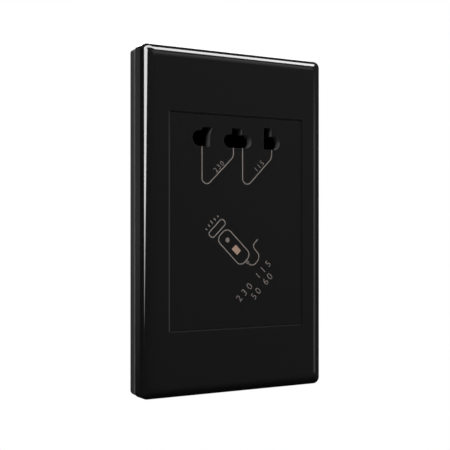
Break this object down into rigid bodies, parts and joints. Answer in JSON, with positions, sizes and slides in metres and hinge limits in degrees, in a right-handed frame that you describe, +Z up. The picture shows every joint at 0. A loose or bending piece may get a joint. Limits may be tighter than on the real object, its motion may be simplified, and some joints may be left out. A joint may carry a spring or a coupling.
{
  "type": "shaver socket",
  "caption": "Upright wall shaver socket: a glossy black cover round a flush panel with pin apertures, on a mounting frame with an isolating transformer in a rear housing.",
  "frame": {"origin": "middle of the plate on the wall plane, where the mounting frame's rim meets the wall", "axes": "+Z up, +X to the right of a person facing the plate, +Y into the wall; the front faces -Y"},
  "size_m": [0.086, 0.0512, 0.146],
  "materials": {
    "cover_plastic": "high gloss black",
    "panel_plastic": "high gloss black with pale print",
    "frame_plastic": "fine satin dark grey",
    "housing_plastic": "fine matt dark grey",
    "carrier_plastic": "matt black",
    "plunger_plastic": "matt black",
    "contact_brass": "rolled strip, slightly dull",
    "screw_steel": "bright zinc plated",
    "spring_steel": "drawn wire",
    "core_steel": "varnished laminations",
    "strap_steel": "zinc plated strip",
    "bobbin_plastic": "natural nylon",
    "winding_copper": "enamelled wire",
    "tape_film": "yellow polyester film",
    "cutout_case": "moulded black",
    "lead_brown": "brown insulation",
    "lead_blue": "blue insulation",
    "lead_white": "white insulation",
    "block_plastic": "pale grey moulding"
  },
  "bodies": {
    "unit": {"cover_frame": "cover_plastic", "mounting_frame": "frame_plastic", "socket_panel": "panel_plastic", "rear_housing": "housing_plastic", "housing_screws": "screw_steel", "contact_carrier": "carrier_plastic", "carrier_screws": "screw_steel", "contact_230": "contact_brass", "contact_common": "contact_brass", "contact_115": "contact_brass", "switch_spring": "spring_steel", "fixed_contact_line": "contact_brass", "fixed_contact_load": "contact_brass", "neutral_tag": "contact_brass", "terminal_block": "block_plastic", "terminal_pillars": "contact_brass", "terminal_screws": "screw_steel", "core_e": "core_steel", "core_i": "core_steel", "core_strap": "strap_steel", "bobbin": "bobbin_plastic", "primary_winding": "winding_copper", "secondary_winding": "winding_copper", "winding_tapes": "tape_film", "bobbin_pins": "contact_brass", "thermal_cutout": "cutout_case", "lead_load": "lead_brown", "lead_cutout": "lead_brown", "lead_neutral": "lead_blue", "lead_230": "lead_white", "lead_common": "lead_white", "lead_115": "lead_white"},
    "plug_switch": {"switch_plunger": "plunger_plastic", "bridge_contact": "contact_brass"}
  },
  "joints": [
    {"name": "plug_switch_slide", "type": "slide", "parent": "unit", "child": "plug_switch", "axis": [0, 1, 0], "range_m": [0, 0.003], "stiffness_N_per_m": 250, "springref_m": -0.004, "deforming": ["switch_spring"]}
  ]
}
